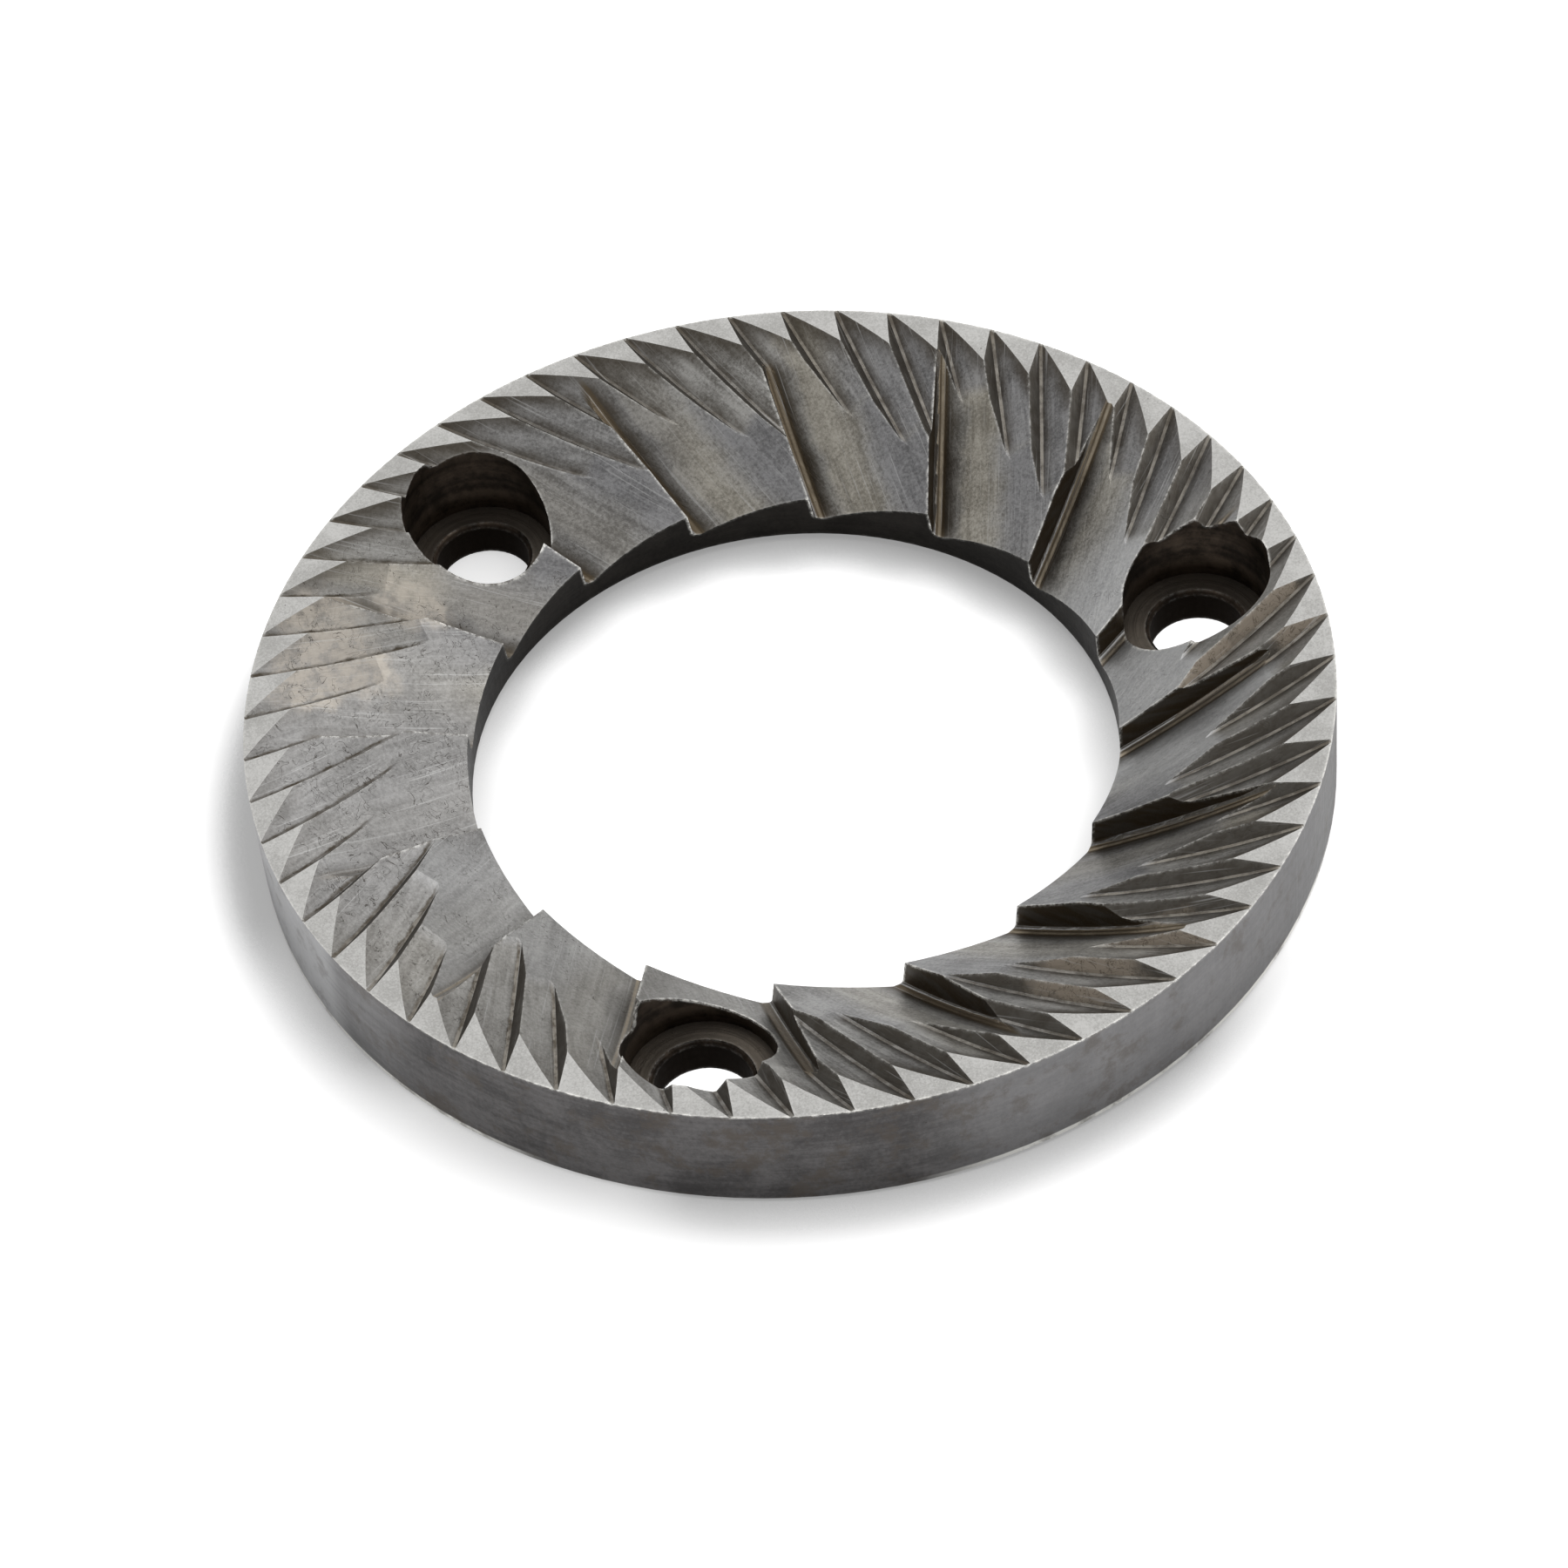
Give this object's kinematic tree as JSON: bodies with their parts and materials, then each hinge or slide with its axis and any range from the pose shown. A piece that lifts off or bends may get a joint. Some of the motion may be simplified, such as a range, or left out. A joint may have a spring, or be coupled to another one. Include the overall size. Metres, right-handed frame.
{
  "type": "coffee grinder burr",
  "caption": "Flat grinding burr: a hardened steel ring with skewed coarse and fine grooves cut into its face and counterbored screw holes.",
  "frame": {"origin": "centre of the back face, on the bore's axis", "axes": "+Z along the bore's axis towards the grooved face; azimuths turn counter-clockwise from +X seen from above"},
  "size_m": [0.064, 0.064, 0.0075],
  "materials": {
    "hardened_steel": "ground lands, cut grooves, worn and coffee-stained"
  },
  "bodies": {
    "root": {"burr": "hardened_steel"}
  },
  "joints": []
}
